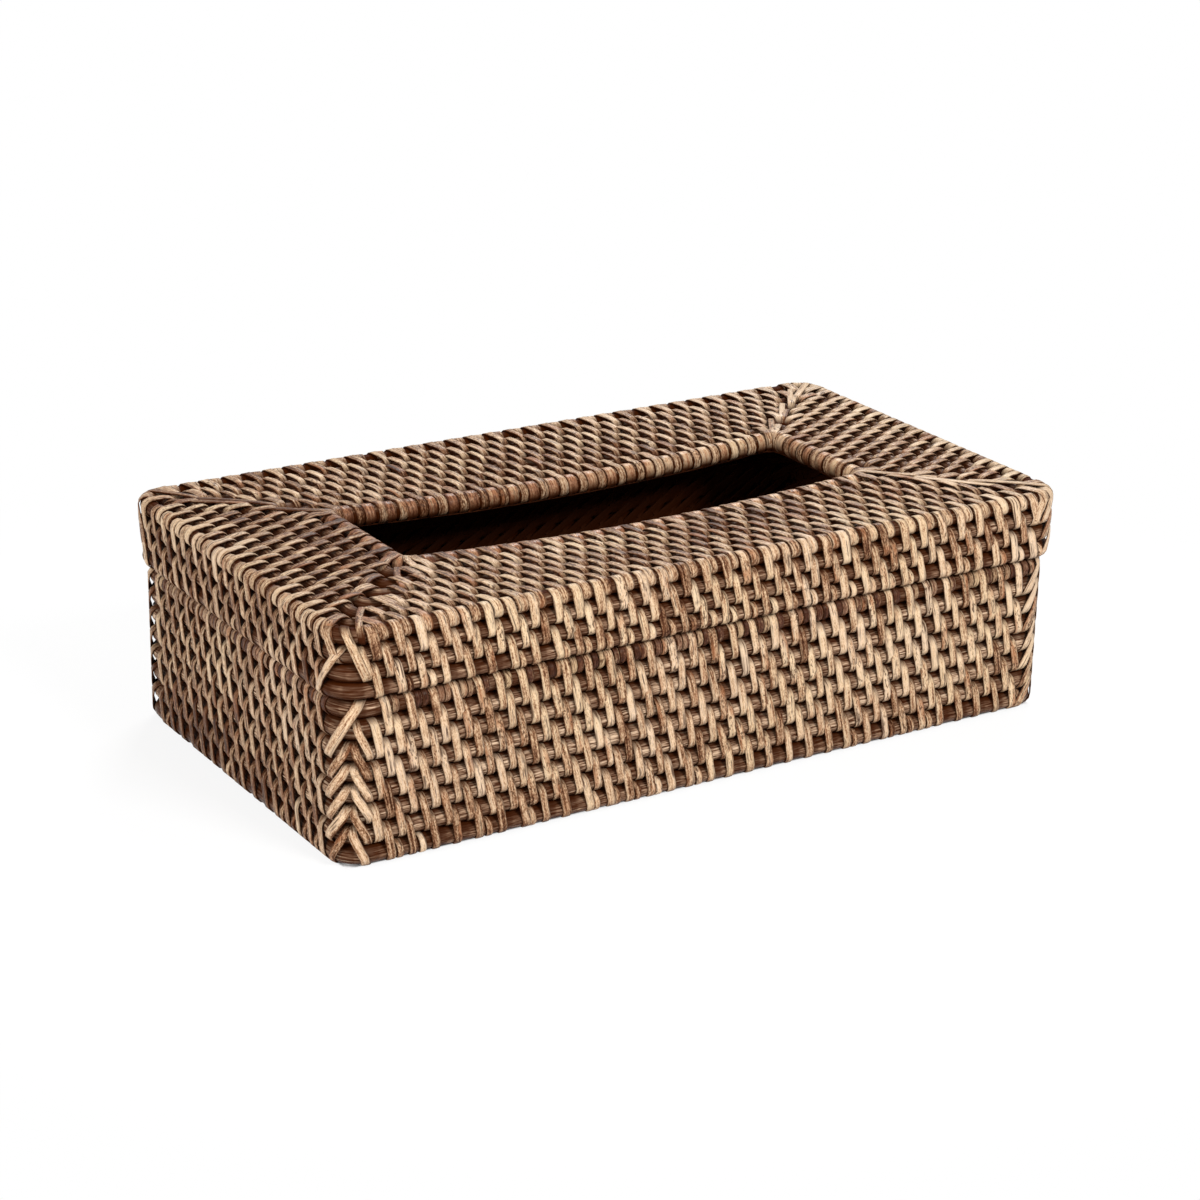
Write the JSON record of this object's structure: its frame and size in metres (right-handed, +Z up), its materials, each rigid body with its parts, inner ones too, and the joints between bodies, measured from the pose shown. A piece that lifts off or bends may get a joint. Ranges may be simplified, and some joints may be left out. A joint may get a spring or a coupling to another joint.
{
  "type": "tissue box cover",
  "caption": "Long low lashed rattan tissue box cover: an open base of stacked cane hoops and a lift-off lid of mitred hoops round a long slot.",
  "frame": {"origin": "centre of the base's footprint, on the surface it stands on", "axes": "+X along the long side, +Y towards the back long side, +Z up through the slot"},
  "size_m": [0.27, 0.147, 0.0774],
  "materials": {
    "brown_cane": "dark brown rattan cane with fine lengthwise striations and a soft gloss",
    "floor_cane": "mid-brown rattan cane, dull",
    "split_strip": "tan split rattan strip, varied from straw to grey-brown, speckled, soft gloss"
  },
  "bodies": {
    "base": {"base_rim_cane": "brown_cane", "base_cane_2": "brown_cane", "base_cane_3": "brown_cane", "base_cane_4": "brown_cane", "base_cane_5": "brown_cane", "base_cane_6": "brown_cane", "base_cane_7": "brown_cane", "base_cane_8": "brown_cane", "base_locating_cane": "brown_cane", "floor_cane_1": "floor_cane", "floor_cane_2": "floor_cane", "floor_cane_3": "floor_cane", "floor_cane_4": "floor_cane", "floor_cane_5": "floor_cane", "floor_cane_6": "floor_cane", "floor_cane_7": "floor_cane", "floor_cane_8": "floor_cane", "floor_cane_9": "floor_cane", "floor_cane_10": "floor_cane", "floor_cane_11": "floor_cane", "floor_cane_12": "floor_cane", "floor_cane_13": "floor_cane", "floor_cane_14": "floor_cane", "floor_cane_15": "floor_cane", "floor_cane_16": "floor_cane", "floor_cane_17": "floor_cane", "floor_cane_18": "floor_cane", "floor_cane_19": "floor_cane", "floor_cane_20": "floor_cane", "floor_cane_21": "floor_cane", "base_lashing_1": "split_strip", "base_lashing_2": "split_strip", "base_lashing_3": "split_strip", "base_lashing_4": "split_strip", "base_lashing_5": "split_strip", "base_lashing_6": "split_strip", "base_lashing_7": "split_strip"},
    "lid": {"slot_rim_cane": "brown_cane", "lid_top_cane_1": "brown_cane", "lid_top_cane_2": "brown_cane", "lid_top_cane_3": "brown_cane", "lid_top_cane_4": "brown_cane", "lid_top_cane_5": "brown_cane", "lid_top_cane_6": "brown_cane", "lid_edge_cane": "brown_cane", "lid_side_cane_1": "brown_cane", "lid_side_cane_2": "brown_cane", "lid_side_cane_3": "brown_cane", "lid_lashing_1": "split_strip", "lid_lashing_2": "split_strip", "lid_lashing_3": "split_strip", "lid_lashing_4": "split_strip", "lid_lashing_5": "split_strip", "lid_lashing_6": "split_strip", "lid_lashing_7": "split_strip", "lid_lashing_8": "split_strip", "lid_lashing_9": "split_strip", "lid_lashing_10": "split_strip"}
  },
  "joints": [
    {"name": "lid_lift", "type": "slide", "parent": "base", "child": "lid", "axis": [0, 0, 1], "range_m": [0, 0.08]}
  ]
}
